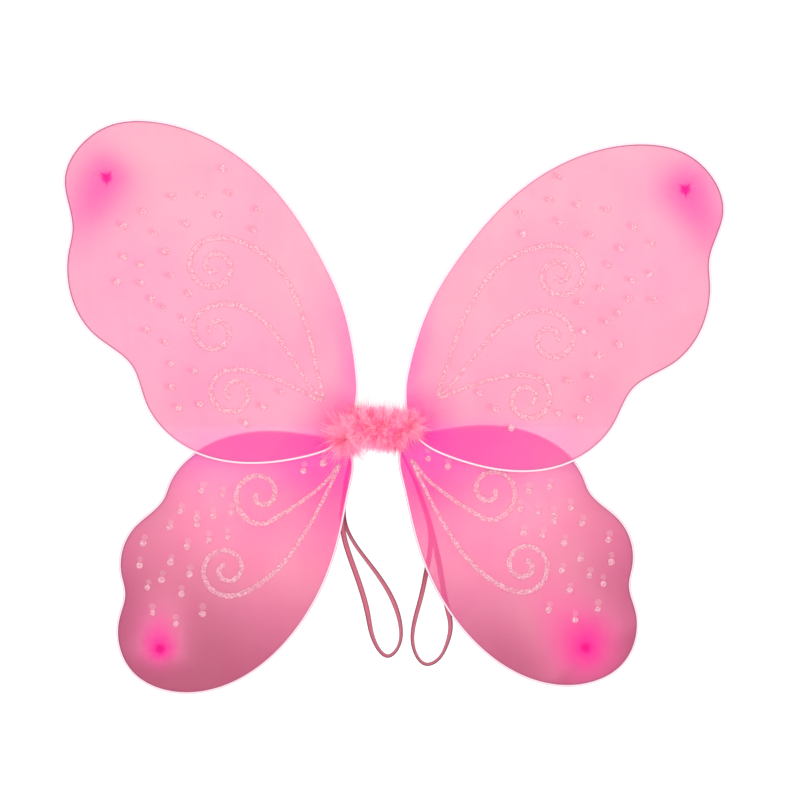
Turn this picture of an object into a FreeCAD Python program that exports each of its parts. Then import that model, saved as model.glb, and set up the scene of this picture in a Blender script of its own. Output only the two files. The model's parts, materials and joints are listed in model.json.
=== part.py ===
"""Dress-up fairy wings: four nylon-covered wire wings on a fluffy bridge, with two elastic arm loops.

Millimetres. +X is the right of the decorated side, +Z is up, +Y points at the wearer.
The origin is the centre of the back pad's rest face.
"""
import FreeCAD, Part
import math
import os

V = FreeCAD.Vector

# ---- driving dimensions ----------------------------------------------------------------
WIRE_R = 1.1                # coated frame wire
SKIN = 0.2                  # nylon thickness
WIRE_PLAY = 0.1             # room between a frame wire and its nylon cover
UPPER_LAYER_Y = -9.5        # mid plane of the upper wings
LOWER_LAYER_Y = -5.0        # mid plane of the lower wings, nearer the wearer

BEAD_WIDTH = 2.6            # glitter-glue line
BEAD_HEIGHT = 0.9
DOT_R = 2.4                 # glitter-glue dot
DOT_HEIGHT = 0.8

CORE_Y = -7.25              # axis of the wire bundle, midway between the two wing layers
CORE_Z = -4.0
BRIDGE_HALF = 11.6          # half length of the bridge's wire bundle
FOLD_X = 16.0               # the wings of one side fold about a vertical line here
STEM_END = 19.3
PIVOT_X = 22.4              # each wing turns in its own plane about a line here
UPPER_PIVOT_Z = -2.6
LOWER_PIVOT_Z = -4.6
TAIL_SIDE = 1.12            # each wire tail's distance from the middle of its pair
TAIL_STUB = 1.0             # how far the tails run past their pivot
WIRE_GAP = 0.06             # between neighbouring wires of the bundle
TAPE_PLAY = 0.08            # between the bundle and the tape wound round it
TAPE_THICKNESS = 0.5

PAD_HALF_X = 14.0
PAD_HALF_Z = 13.0
PAD_THICKNESS = 1.6
PAD_CORNER_R = 6.0
SLEEVE_R = 15.5
SLEEVE_HALF = 10.0
SLEEVE_Y = -12.5
SLEEVE_Z = 3.0
SLEEVE_RIM_R = 3.0
TUFT_R = 9.5
TUFT_HEIGHT = 4.5
TUFT_BASE_Y = -12.45
TUFT_X = 28.5
LEFT_TUFT_Z = -4.5
RIGHT_TUFT_Z = 3.5

STRAP_WIDTH = 5.5
STRAP_THICKNESS = 1.1

# ---- derived dimensions ----------------------------------------------------------------
CAVITY_HALF = WIRE_R + WIRE_PLAY
COVER_HALF = CAVITY_HALF + SKIN
BUNDLE_R = WIRE_R * math.sqrt(2.0) + WIRE_GAP    # the circle the four wires' middles lie on
CORE_R = BUNDLE_R + WIRE_R
TAPE_IN = CORE_R + TAPE_PLAY

# ---- wing outlines, in the wing's own plane: (outward, up) from its neck ----------------
UPPER_OUTLINE = [
    (3.4, 2.1), (9.5, -5.2), (21.6, -13.9), (41, -20.5), (149, -13.5), (187.5, 28), (200, 61),
    (234.5, 89.5), (257.5, 165), (254, 184.5), (261, 231), (224.5, 278), (185, 283.5),
    (80, 232), (31.5, 165.5), (9, 117), (-3.4, 56.5), (-4.3, 37.5), (0.5, 10),
]
LOWER_OUTLINE = [
    (2.9, -2.7), (1.2, -9.5), (0, -28.5), (2.5, -41), (11, -82), (26.5, -130), (115, -223),
    (157, -229.5), (200, -210.5), (212, -163.5), (206.5, -139.5), (210, -121.5), (198, -79.5),
    (170.5, -52), (166.5, -41.5), (94, 6), (30, 2.3), (9.8, -0.3),
]

# ---- glitter scrolls: a stem that curves into a spiral ----------------------------------
# start, stem heading and pull, pull into the spiral, spiral centre, outer and inner radius,
# angle where the spiral begins, angle it turns through (degrees, negative is clockwise)
UPPER_SCROLLS = [
    ((26.5, 36.5), 74, 46, 76, (125, 151.5), 27.0, 2.8, 101, -610),
    ((29.8, 34.0), 37, 26, 57, (124, 92.5), 23.0, 5.2, 75, -455),
    ((31.2, 30.2), 40, 5, 33, (107.5, 36.5), 22.0, 4.3, 30, -465),
]
LOWER_SCROLLS = [
    ((17.6, -30.6), -58, 20, 3, (83, -50), 27.0, 3.2, -94, 480),
    ((10.6, -21.6), -66, 114, 18.5, (114, -117.5), 26.5, 3.9, -124, 565),
]

# ---- glitter dots, set by hand -----------------------------------------------------------
UPPER_DOTS = [
    (117, 240), (136, 217), (111, 218), (163, 215), (85, 203), (121, 198), (189, 201),
    (150, 190), (207, 188), (89, 185), (179, 181), (169, 165), (207, 160), (192, 153),
    (164, 143), (213, 137), (191, 136), (148, 127), (182, 122), (172, 114), (153, 103),
    (186, 94), (169, 82), (164, 63), (143, 56), (163, 42), (64, 37), (138, 26), (80, 24),
    (157, 23), (96, 9),
]
LOWER_DOTS = [
    (26, -21), (44, -28), (137, -46), (118, -50), (156, -65), (141, -71), (141, -77),
    (126, -69), (110, -66), (166, -79), (190, -94), (130, -91), (113, -88), (150, -97),
    (165, -111), (193, -114), (148, -122), (173, -127), (186, -134), (155, -140),
    (181, -157), (136, -158), (160, -167),
]


class Wing:
    """One wing: which shape it has, and where and at what lean it is set."""

    def __init__(self, name, upper, side, neck, lean, toe, trim_turn):
        self.name = name
        self.side = side                     # -1 left, +1 right
        self.neck = neck                     # (x, z) of the wing's own zero
        self.lean = lean                     # degrees, clockwise on the right side
        self.toe = toe                       # (outward, up) of the gathered toe
        self.trim_turn = trim_turn           # degrees the glitter is turned about the neck
        self.outline = UPPER_OUTLINE if upper else LOWER_OUTLINE
        self.scrolls = UPPER_SCROLLS if upper else LOWER_SCROLLS
        self.dots = UPPER_DOTS if upper else LOWER_DOTS
        self.y = UPPER_LAYER_Y if upper else LOWER_LAYER_Y
        self.pivot = V(side * PIVOT_X, self.y, UPPER_PIVOT_Z if upper else LOWER_PIVOT_Z)

    def at(self, out, up, depth=0.0, turn=0.0):
        """A point of the wing's plane; depth is towards the wearer."""
        angle = math.radians(turn - self.lean)
        x = out * math.cos(angle) - up * math.sin(angle)
        z = out * math.sin(angle) + up * math.cos(angle)
        return V(self.neck[0] + self.side * x, self.y + depth, self.neck[1] + z)

    def trim_at(self, out, up, depth=0.0):
        """As at(), for the glitter, which was laid on each wing by hand."""
        return self.at(out, up, depth, self.trim_turn)


WINGS = [
    Wing("upper_left", True, -1, (-22.8, -2.7), 0.0, (223, 232), 0.0),
    Wing("upper_right", True, 1, (26.0, 2.8), 7.5, (224, 247), 1.8),
    Wing("lower_left", False, -1, (-22.8, -9.1), 0.0, (174.5, -190), 0.0),
    Wing("lower_right", False, 1, (20.7, -5.0), -0.95, (166, -196), -1.2),
]


# ---- helpers -----------------------------------------------------------------------------
def save(name, shape):
    """Write one named piece."""
    if not shape.isValid():
        raise ValueError(name + " is not a valid shape")
    if not shape.Solids:
        raise ValueError(name + " has no solid")
    os.makedirs("parts", exist_ok=True)
    shape.exportStep("parts/" + name + ".step")
    print(name, len(shape.Solids), round(shape.Volume, 1))


def spline(points, closed=False):
    """A smooth curve through the points."""
    curve = Part.BSplineCurve()
    curve.interpolate(Points=points, PeriodicFlag=closed)
    return curve


def grown(curve, distance):
    """A closed curve of the wing plane, moved outwards everywhere by a distance."""
    steps = 12                               # points between one outline point and the next
    knots = curve.getKnots()
    around = []
    for low, high in zip(knots, knots[1:]):
        around += [low + (high - low) * i / steps for i in range(steps)]
    places = [curve.value(p) for p in around]
    sides = [curve.tangent(p)[0].cross(V(0, 1, 0)).normalize() for p in around]
    leftmost = min(range(len(places)), key=lambda i: places[i].x)
    sense = -1 if sides[leftmost].x > 0 else 1
    return spline([p + s * (sense * distance) for p, s in zip(places, sides)], closed=True)


def slab(curve, grow, half):
    """The area inside a closed curve, grown outwards and given a thickness."""
    face = Part.Face(Part.Wire(grown(curve, grow).toShape()))
    face.translate(V(0, -half, 0))
    return face.extrude(V(0, 2.0 * half, 0))


def block(centre, along, half_length, half_width, half_depth):
    """A box centred on a point, lying along a direction of the wing's plane."""
    across = along.cross(V(0, 1, 0))
    corner = centre - along * half_length - across * half_width - V(0, half_depth, 0)
    base = Part.makePolygon([
        corner,
        corner + along * (2 * half_length),
        corner + along * (2 * half_length) + across * (2 * half_width),
        corner + across * (2 * half_width),
        corner,
    ])
    return Part.Face(base).extrude(V(0, 2 * half_depth, 0))


def sweep(spine, profile, upright=False):
    """A profile carried along a spine; upright keeps the profile level with the wing plane."""
    maker = Part.BRepOffsetAPI.MakePipeShell(spine)
    if upright:
        maker.setBiNormalMode(V(0, 1, 0))
    maker.add(profile, False, False)
    maker.build()
    maker.makeSolid()
    return maker.shape()


def tube(x0, x1, inner, outer, y=CORE_Y, z=CORE_Z):
    """A tube along X."""
    start = V(min(x0, x1), y, z)
    length = abs(x1 - x0)
    body = Part.makeCylinder(outer, length, start, V(1, 0, 0))
    bore = Part.makeCylinder(inner, length, start, V(1, 0, 0))
    return body.cut(bore)


def dome(centre, radius, height):
    """A round cap that stands on a plane facing the viewer, towards -Y."""
    rim = centre + V(radius, 0, 0)
    top = centre + V(0, -height, 0)
    ball = (radius * radius + height * height) / (2.0 * height)
    hub = centre + V(0, ball - height, 0)
    half_angle = 0.5 * math.asin(radius / ball)
    mid = hub + V(ball * math.sin(half_angle), -ball * math.cos(half_angle), 0)
    profile = Part.Wire([
        Part.makeLine(centre, rim),
        Part.Arc(rim, mid, top).toShape(),
        Part.makeLine(top, centre),
    ])
    return Part.Face(profile).revolve(centre, V(0, 1, 0), 360)


# ---- pieces of a wing ----------------------------------------------------------------------
MERGE = 16.0                # the wires reach the outline this far from the neck
MERGE_PULL = 6.0
NECK_START = -0.5           # the gathered nylon begins here, measured from the pivot
TIE_HALF_LENGTH = 0.6
TIE_THICKNESS = 0.4
TIE_ROOM = 1.1              # between the neck tie and the wing's broad part
TIE_PLAY = 0.02


def neck_line(wing):
    """The direction of the wire tails, and their length from the pivot to the neck's apex."""
    out, up = wing.outline[0]
    run = wing.at(out, up) - wing.pivot
    length = run.Length
    return run / length, length


def wing_curve(wing):
    """The closed middle line of the frame wire."""
    return spline([wing.at(out, up) for out, up in wing.outline], closed=True)


def frame_wire(wing, curve):
    """One wire: tail, round the outline, and back to a second tail beside the first."""
    along, length = neck_line(wing)
    across = along.cross(V(0, 1, 0))
    apex = wing.pivot + along * length
    first = curve.parameterAtDistance(MERGE, curve.FirstParameter)
    last = curve.parameterAtDistance(curve.length() - MERGE, curve.FirstParameter)
    if (curve.value(first) - apex).dot(across) < 0:
        across = -across
    edges = []
    ends = [(first, across, 1.0), (last, -across, -1.0)]
    for parameter, aside, sense in ends:
        tail = wing.pivot - along * TAIL_STUB + aside * TAIL_SIDE
        bend = apex + aside * TAIL_SIDE
        merge = curve.value(parameter)
        ahead = curve.tangent(parameter)[0] * sense
        curl = Part.BezierCurve()
        curl.setPoles([bend, bend + along * MERGE_PULL, merge - ahead * MERGE_PULL, merge])
        edges.append([Part.makeLine(tail, bend), curl.toShape()])
    path = Part.Wire(edges[0] + [curve.toShape(first, last)] + edges[1][::-1])
    start = wing.pivot - along * TAIL_STUB + across * TAIL_SIDE
    circle = Part.Wire(Part.Circle(start, along, WIRE_R).toShape())
    return sweep(path, circle)


TOE_BASE_R = 3.0
TOE_WAIST_R = 1.5
TOE_TUFT_R = 2.6
TOE_WAIST = 2.1             # height of the toe's waist above the back skin
TOE_LENGTH = 5.0
TOE_SINK = 0.1              # the toe starts inside the skin, so that they are one piece
TOE_TIE_R = 0.45
TOE_TIE_PLAY = 0.06


def toe_tuft(wing):
    """The gathered nylon behind the wing's tip, pinched to a waist by its tie."""
    foot = wing.at(*wing.toe, COVER_HALF - TOE_SINK)
    profile = spline([
        foot + V(TOE_BASE_R, 0, 0),
        foot + V(TOE_WAIST_R, TOE_WAIST + TOE_SINK, 0),
        foot + V(TOE_TUFT_R, TOE_LENGTH + TOE_SINK, 0),
    ]).toShape()
    top = foot + V(0, TOE_LENGTH + TOE_SINK, 0)
    side = Part.Wire([
        Part.makeLine(foot, foot + V(TOE_BASE_R, 0, 0)),
        profile,
        Part.makeLine(top + V(TOE_TUFT_R, 0, 0), top),
        Part.makeLine(top, foot),
    ])
    return Part.Face(side).revolve(foot, V(0, 1, 0), 360)


def neck_tube(wing, half_width, half_depth, start):
    """The stretch of nylon that is gathered round the tails, or the room inside it."""
    along, length = neck_line(wing)
    reach = length + CAVITY_HALF
    half_length = 0.5 * (reach - start)
    centre = wing.pivot + along * (reach - half_length)
    return block(centre, along, half_length, half_width, half_depth)


def nylon_cover(wing, curve):
    """A thin hollow envelope round the frame, open where the tails leave it."""
    tails_half = TAIL_SIDE + WIRE_R + WIRE_PLAY
    outer = slab(curve, COVER_HALF, COVER_HALF)
    outer = outer.fuse(neck_tube(wing, tails_half + SKIN, COVER_HALF, NECK_START))
    outer = outer.fuse(toe_tuft(wing))
    room = slab(curve, CAVITY_HALF, CAVITY_HALF)
    room = room.fuse(neck_tube(wing, tails_half, CAVITY_HALF, -TAIL_STUB))
    return outer.cut(room).removeSplitter()


def toe_tie(wing):
    """Thread wound round the toe's waist."""
    centre = wing.at(*wing.toe, COVER_HALF + TOE_WAIST)
    return Part.makeTorus(TOE_WAIST_R + TOE_TIE_R + TOE_TIE_PLAY, TOE_TIE_R, centre, V(0, 1, 0))


def neck_tie(wing):
    """Thread bound round the gathered nylon and the two tails inside it."""
    along, length = neck_line(wing)
    centre = wing.pivot + along * (length - COVER_HALF - TIE_ROOM - TIE_HALF_LENGTH)
    width = TAIL_SIDE + WIRE_R + WIRE_PLAY + SKIN + TIE_PLAY
    depth = COVER_HALF + TIE_PLAY
    band = block(centre, along, TIE_HALF_LENGTH, width + TIE_THICKNESS, depth + TIE_THICKNESS)
    opening = block(centre, along, 2 * TIE_HALF_LENGTH, width, depth)
    return band.cut(opening)


SPIRAL_STEP = 24            # degrees of turn between two points of a spiral
SPIRAL_LEAST = 12           # a spiral has at least this many steps
STEM_POINTS = 8


def glitter_scroll(wing, spec):
    """A round-topped line of glitter glue: a curving stem that runs into a spiral."""
    start, heading, pull, spiral_pull, centre, r_outer, r_inner, angle, turn = spec
    steps = max(SPIRAL_LEAST, int(abs(turn) / SPIRAL_STEP))
    spiral = []
    for i in range(steps + 1):
        share = i / steps
        a = math.radians(angle + turn * share)
        r = r_outer + (r_inner - r_outer) * share
        spiral.append((centre[0] + r * math.cos(a), centre[1] + r * math.sin(a)))
    a = math.radians(angle)
    swing = math.radians(turn)
    drift = r_inner - r_outer
    entry = (drift * math.cos(a) - r_outer * swing * math.sin(a),
             drift * math.sin(a) + r_outer * swing * math.cos(a))
    size = math.hypot(*entry)
    h = math.radians(heading)
    poles = [
        start,
        (start[0] + pull * math.cos(h), start[1] + pull * math.sin(h)),
        (spiral[0][0] - spiral_pull * entry[0] / size, spiral[0][1] - spiral_pull * entry[1] / size),
        spiral[0],
    ]
    stem = Part.BezierCurve()
    stem.setPoles([wing.trim_at(*pole, -COVER_HALF) for pole in poles])
    stem_points = stem.discretize(Number=STEM_POINTS + 1)[:-1]
    path = spline(stem_points + [wing.trim_at(*point, -COVER_HALF) for point in spiral])
    at = path.value(path.FirstParameter)
    across = path.tangent(path.FirstParameter)[0].cross(V(0, 1, 0))
    left = at - across * (BEAD_WIDTH / 2)
    right = at + across * (BEAD_WIDTH / 2)
    profile = Part.Wire([
        Part.Arc(left, at + V(0, -BEAD_HEIGHT, 0), right).toShape(),
        Part.makeLine(right, left),
    ])
    return sweep(Part.Wire(path.toShape()), profile, upright=True)


def glitter_dots(wing):
    """Round drops of glitter glue on the front skin."""
    drop = dome(V(0, 0, 0), DOT_R, DOT_HEIGHT)
    drops = []
    for out, up in wing.dots:
        one = drop.copy()
        one.translate(wing.trim_at(out, up, -COVER_HALF))
        drops.append(one)
    return Part.makeCompound(drops)


def make_wing(wing):
    """Write the pieces of one wing."""
    curve = wing_curve(wing)
    save(wing.name + "_frame_wire", frame_wire(wing, curve))
    save(wing.name + "_nylon", nylon_cover(wing, curve))
    save(wing.name + "_toe_tie", toe_tie(wing))
    save(wing.name + "_neck_tie", neck_tie(wing))
    for number, spec in enumerate(wing.scrolls, 1):
        save("%s_scroll_%d" % (wing.name, number), glitter_scroll(wing, spec))
    save(wing.name + "_dots", glitter_dots(wing))


# ---- pieces of the bridge ------------------------------------------------------------------
TWIST_PITCH = 45.0
FIT = 0.1                   # clearance of a bore round the piece inside it
TAPE_INSET = 0.3            # the stem's wires start this much before its tape


def wire_bundle(x0, x1):
    """Four wires twisted together along X, each its own solid."""
    length = abs(x1 - x0)
    wires = []
    for quarter in range(4):
        helix = Part.makeHelix(TWIST_PITCH, length, BUNDLE_R)
        start = V(BUNDLE_R, 0, 0)
        slope = math.atan2(TWIST_PITCH, 2 * math.pi * BUNDLE_R)
        circle = Part.Wire(Part.Circle(start, V(0, math.cos(slope), math.sin(slope)), WIRE_R).toShape())
        wire = Part.Wire(helix.Edges).makePipeShell([circle], True, True)
        wire.rotate(V(0, 0, 0), V(0, 0, 1), 90 * quarter)
        wire.rotate(V(0, 0, 0), V(0, 1, 0), 90)
        wire.translate(V(min(x0, x1), CORE_Y, CORE_Z))
        wires.append(wire)
    return Part.makeCompound(wires)


def back_pad():
    """A rounded felt rectangle whose back face is the rest face."""
    size = V(2 * PAD_HALF_X, PAD_THICKNESS, 2 * PAD_HALF_Z)
    pad = Part.makeBox(size.x, size.y, size.z, V(-PAD_HALF_X, -PAD_THICKNESS, -PAD_HALF_Z))
    corners = [edge for edge in pad.Edges if abs(edge.tangentAt(edge.FirstParameter).y) > 0.9]
    return pad.makeFillet(PAD_CORNER_R, corners)


def marabou_sleeve():
    """The body of the fluffy trim: a thick sleeve round the bridge, pressed flat by the pad."""
    start = V(-SLEEVE_HALF, SLEEVE_Y, SLEEVE_Z)
    body = Part.makeCylinder(SLEEVE_R, 2 * SLEEVE_HALF, start, V(1, 0, 0))
    rims = [edge for edge in body.Edges if edge.Closed]
    body = body.makeFillet(SLEEVE_RIM_R, rims)
    bore_start = V(-SLEEVE_HALF - 1, CORE_Y, CORE_Z)
    bore_r = TAPE_IN + TAPE_THICKNESS + FIT
    bore = Part.makeCylinder(bore_r, 2 * SLEEVE_HALF + 2, bore_start, V(1, 0, 0))
    wide = 4 * SLEEVE_R                      # more than the sleeve measures either way
    behind = Part.makeBox(wide, wide, wide, V(-wide / 2, -PAD_THICKNESS - FIT, -wide / 2))
    return body.cut(bore).cut(behind)


RING_START = 16.8
RING_END = 19.1
RING_THICKNESS = 0.9
KNOT_X = 18.0
ARM_SIZE = (2.4, 3.0, 5.6)  # the short slanting run from the ring to the lump
ARM_SINK = 0.4              # it starts this deep inside the ring
LUMP_SIZE = (6.0, 4.4, 4.6)
LUMP_BACK = 5.1             # the lump's front face, behind the stem's axis
LUMP_DROP = 9.2             # and its underside, below that axis
LUMP_CORNER_R = 1.2


def strap_knot(side):
    """The knot of the elastic: a ring round the stem, and the lump where both runs meet."""
    ring_in = TAPE_IN + TAPE_THICKNESS + FIT
    ring = tube(side * RING_START, side * RING_END, ring_in, ring_in + RING_THICKNESS)
    root = V(side * KNOT_X, CORE_Y, CORE_Z)
    arm = Part.makeBox(*ARM_SIZE, V(-ARM_SIZE[0] / 2, -ARM_SIZE[1] / 2, ring_in + ARM_SINK))
    slant = V(0, 1, -1)
    arm.Placement = FreeCAD.Placement(root, FreeCAD.Rotation(V(0, 0, 1), slant))
    lump = Part.makeBox(*LUMP_SIZE, root + V(-LUMP_SIZE[0] / 2, LUMP_BACK, -LUMP_DROP))
    lump = lump.makeFillet(LUMP_CORNER_R, lump.Edges)
    return ring.fuse(arm).fuse(lump).removeSplitter()


STRAP_TOP = CORE_Z - LUMP_DROP - 0.4        # both runs end just under the lump
STRAP_FALLS = (STRAP_TOP, STRAP_TOP - 3.0, STRAP_TOP - 6.0)     # and start straight down
STRAP_FRONT_Y = -0.9
STRAP_BACK_Y = 1.0
LEFT_STRAP = [
    (-24.5, -0.7, -33), (-29, -0.4, -52),
    (-31.5, 0.6, -88), (-21, 1.2, -126), (-8, 1.6, -170), (-1, 1.8, -196), (10, 2.0, -206.6),
    (20, 2.2, -197), (22, 2.4, -182), (14, 2.7, -154), (-10, 2.8, -118), (-29, 2.4, -85),
    (-28.5, 1.8, -52), (-24.5, 1.4, -33),
]
RIGHT_STRAP = [
    (27, -0.7, -33), (37, -0.4, -54), (49, 0.6, -98), (45.5, 1.2, -126.5), (40, 1.5, -153),
    (33, 1.7, -180), (34.6, 1.9, -203), (44.6, 2.0, -213.9), (55, 2.1, -210), (63.5, 2.3, -196),
    (67.3, 2.5, -178), (63.7, 2.7, -161), (59, 2.8, -136), (52, 2.4, -100), (38, 1.8, -54),
    (27, 1.4, -33),
]


def arm_strap(side, points):
    """A flat elastic band hanging as a loop, both ends under the knot."""
    down = [V(side * KNOT_X, STRAP_FRONT_Y, z) for z in STRAP_FALLS]
    up = [V(side * KNOT_X, STRAP_BACK_Y, z) for z in STRAP_FALLS[::-1]]
    path = spline(down + [V(*point) for point in points] + up)
    at = path.value(path.FirstParameter)
    heading = path.tangent(path.FirstParameter)[0]
    across = heading.cross(V(0, 1, 0)).normalize()
    depth = heading.cross(across).normalize()
    a = across * (STRAP_WIDTH / 2)
    d = depth * (STRAP_THICKNESS / 2)
    profile = Part.makePolygon([at - a - d, at + a - d, at + a + d, at - a + d, at - a - d])
    return sweep(Part.Wire(path.toShape()), profile, upright=True)


def make_stem(side, name, tuft_z):
    """The bound stem that carries one side's wings, with its tuft and its strap knot."""
    save(name + "_stem_wires", wire_bundle(side * FOLD_X, side * STEM_END))
    tape_start = side * (FOLD_X + TAPE_INSET)
    save(name + "_stem_tape", tube(tape_start, side * STEM_END, TAPE_IN, TAPE_IN + TAPE_THICKNESS))
    tuft_base = V(side * TUFT_X, TUFT_BASE_Y, tuft_z)
    save(name + "_marabou_tuft", dome(tuft_base, TUFT_R, TUFT_HEIGHT))
    save(name + "_strap_knot", strap_knot(side))


def main():
    """Write every piece."""
    save("bridge_wires", wire_bundle(-BRIDGE_HALF, BRIDGE_HALF))
    save("bridge_tape", tube(-BRIDGE_HALF, BRIDGE_HALF, TAPE_IN, TAPE_IN + TAPE_THICKNESS))
    save("back_pad", back_pad())
    save("marabou_sleeve", marabou_sleeve())
    make_stem(-1, "left", LEFT_TUFT_Z)
    make_stem(1, "right", RIGHT_TUFT_Z)
    save("left_arm_strap", arm_strap(-1, LEFT_STRAP))
    save("right_arm_strap", arm_strap(1, RIGHT_STRAP))
    for wing in WINGS:
        make_wing(wing)


main()
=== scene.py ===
"""Dress-up fairy wings: the visible model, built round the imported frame. Metres throughout."""
import json
import math

import bpy
import numpy as np
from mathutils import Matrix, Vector, geometry, kdtree, noise


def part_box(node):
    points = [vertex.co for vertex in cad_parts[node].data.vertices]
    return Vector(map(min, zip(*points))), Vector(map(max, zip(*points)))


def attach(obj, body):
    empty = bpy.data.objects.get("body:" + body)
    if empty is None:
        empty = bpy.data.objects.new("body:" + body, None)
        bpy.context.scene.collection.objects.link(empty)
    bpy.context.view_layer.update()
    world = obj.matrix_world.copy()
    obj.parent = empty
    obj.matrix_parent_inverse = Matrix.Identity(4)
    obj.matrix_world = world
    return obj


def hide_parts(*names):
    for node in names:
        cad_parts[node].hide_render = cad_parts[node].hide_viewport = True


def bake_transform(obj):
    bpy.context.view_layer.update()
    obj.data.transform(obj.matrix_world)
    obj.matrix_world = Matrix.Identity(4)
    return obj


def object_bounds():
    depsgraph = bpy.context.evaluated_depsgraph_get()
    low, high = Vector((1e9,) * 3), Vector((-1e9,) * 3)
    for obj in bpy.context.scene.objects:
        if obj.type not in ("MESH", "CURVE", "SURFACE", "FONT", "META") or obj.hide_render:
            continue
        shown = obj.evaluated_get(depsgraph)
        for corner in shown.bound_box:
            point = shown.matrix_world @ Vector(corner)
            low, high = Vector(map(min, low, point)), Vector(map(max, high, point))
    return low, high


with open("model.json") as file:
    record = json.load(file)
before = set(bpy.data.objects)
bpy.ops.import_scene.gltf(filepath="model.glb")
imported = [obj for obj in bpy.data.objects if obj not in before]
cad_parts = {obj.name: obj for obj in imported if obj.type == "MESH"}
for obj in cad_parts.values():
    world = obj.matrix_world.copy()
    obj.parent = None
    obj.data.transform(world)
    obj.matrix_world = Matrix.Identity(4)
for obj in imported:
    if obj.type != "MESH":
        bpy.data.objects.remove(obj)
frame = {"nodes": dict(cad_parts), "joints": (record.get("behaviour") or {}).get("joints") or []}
CAD_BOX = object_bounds()
MM = 0.001
FULL_TURN = 2 * math.pi
SIDES = {"left": -1, "right": 1}
WINGS = ("upper_left", "upper_right", "lower_left", "lower_right")
SCROLLS = {"upper": 3, "lower": 2}
JOINTS = {joint["name"]: np.array(joint["pos_m"]) for joint in frame["joints"]}


# ---- small helpers ----
def srgb(red, green, blue):
    """A colour given as 0-255 screen values, as linear RGBA."""
    screen = np.array([red, green, blue]) / 255
    linear = np.where(screen <= 0.04045, screen / 12.92, ((screen + 0.055) / 1.055) ** 2.4)
    return (*linear.tolist(), 1.0)


def smooth(x, low, high):
    """0 below low, 1 above high, an even curve between."""
    t = np.clip((x - low) / (high - low), 0, 1)
    return t * t * (3 - 2 * t)


def fade(x, low, high):
    """1 below low, 0 above high."""
    return 1 - smooth(x, low, high)


def bell(x, width, power=2):
    """1 at 0, falling away on both sides."""
    return np.exp(-(x / width) ** power)


def squared(v, power):
    """Pushes a sine or cosine outward, so a circle turns into a rounded rectangle."""
    return np.sign(v) * np.abs(v) ** power


def unit(v):
    return v / np.maximum(np.linalg.norm(v, axis=-1, keepdims=True), 1e-12)


def point(*values):
    return np.array(values)


def turns(count):
    """Angles evenly spaced round a circle."""
    return np.linspace(0, FULL_TURN, count, endpoint=False)


def circle(radius, sides):
    return np.stack([np.cos(turns(sides)), np.sin(turns(sides))], 1) * radius


def corners(node):
    low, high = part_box(node)
    return np.array(low), np.array(high)


def middle(node):
    return sum(corners(node)) / 2


def mesh_object(name, verts, faces, material, attributes=None):
    """A smooth mesh object from points and faces, with float attributes on its points."""
    mesh = bpy.data.meshes.new(name)
    mesh.from_pydata(np.asarray(verts).tolist(), [], [[int(i) for i in face] for face in faces])
    for key, values in (attributes or {}).items():
        layer = mesh.attributes.new(key, "FLOAT", "POINT")
        layer.data.foreach_set("value", np.asarray(values, np.float32))
    mesh.polygons.foreach_set("use_smooth", [True] * len(mesh.polygons))
    mesh.materials.append(material)
    mesh.update()
    piece = bpy.data.objects.new(name, mesh)
    bpy.context.scene.collection.objects.link(piece)
    return piece


class Builder:
    """Collects many small closed shapes into one mesh."""

    def __init__(self):
        self.verts, self.faces, self.marks, self.count = [], [], {}, 0

    def add(self, verts, faces, **marks):
        verts = np.asarray(verts, float)
        self.verts.append(verts)
        self.faces += [[int(i) + self.count for i in face] for face in faces]
        for key, value in marks.items():
            self.marks.setdefault(key, []).append(np.broadcast_to(value, (len(verts),)))
        self.count += len(verts)
        return self

    def make(self, name, look, body=None, node=None, slot=None):
        """One piece of all the shapes, which rides on a body and stands for a CAD node."""
        marks = {key: np.concatenate(values) for key, values in self.marks.items()}
        piece = mesh_object(name, np.concatenate(self.verts), self.faces, LOOKS[look], marks)
        if node:
            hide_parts(node)
        if body:
            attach(piece, body)
        return piece


def travel(points):
    """How far along a line each of its points lies."""
    return np.r_[0, np.cumsum(np.linalg.norm(np.diff(points, axis=0), axis=1))]


def resample(points, count, closed=False):
    """Evenly spaced points along a line."""
    points = np.asarray(points, float)
    if closed:
        points = np.vstack([points, points[:1]])
    along = travel(points)
    wanted = np.linspace(0, along[-1], count, endpoint=not closed)
    return np.stack([np.interp(wanted, along, column) for column in points.T], 1)


def relax(points, rounds, closed=False):
    """Evens out a line of points."""
    for _ in range(rounds):
        moved = points * 0.5 + (np.roll(points, 1, 0) + np.roll(points, -1, 0)) / 4
        if not closed:
            moved[0], moved[-1] = points[0], points[-1]
        points = moved
    return points


def skin(rings, closed=False, first_cap=True, last_cap=True):
    """Points and faces over rings of points; closed joins the last ring to the first."""
    count, size = len(rings), len(rings[0])
    faces = []
    for i in range(count if closed else count - 1):
        a, b = i * size, (i + 1) % count * size
        faces += [[a + k, a + (k + 1) % size, b + (k + 1) % size, b + k] for k in range(size)]
    if first_cap and not closed:
        faces.append(list(range(size))[::-1])
    if last_cap and not closed:
        faces.append([(count - 1) * size + k for k in range(size)])
    return np.concatenate(rings), faces


def tube(path, section, closed=False):
    """A sweep along a path, with nothing twisted.

    The section is a ring of offsets (to the side, up), or a function of a point's number and how many
    points the path has."""
    path = np.asarray(path, float)
    ahead = np.gradient(path, axis=0)
    if closed:
        ahead = np.roll(path, -1, 0) - np.roll(path, 1, 0)
    ahead = unit(ahead)
    up = point(0.0, -1.0, 0.0)
    if abs(ahead[0] @ up) > 0.9:
        up = point(1.0, 0.0, 0.0)
    rings = []
    for i, (place, way) in enumerate(zip(path, ahead)):
        up = unit(up - (up @ way) * way)
        ring = section(i, len(path)) if callable(section) else section
        rings.append(place + ring[:, :1] * np.cross(way, up) + ring[:, 1:] * up)
    return skin(rings, closed)


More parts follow.
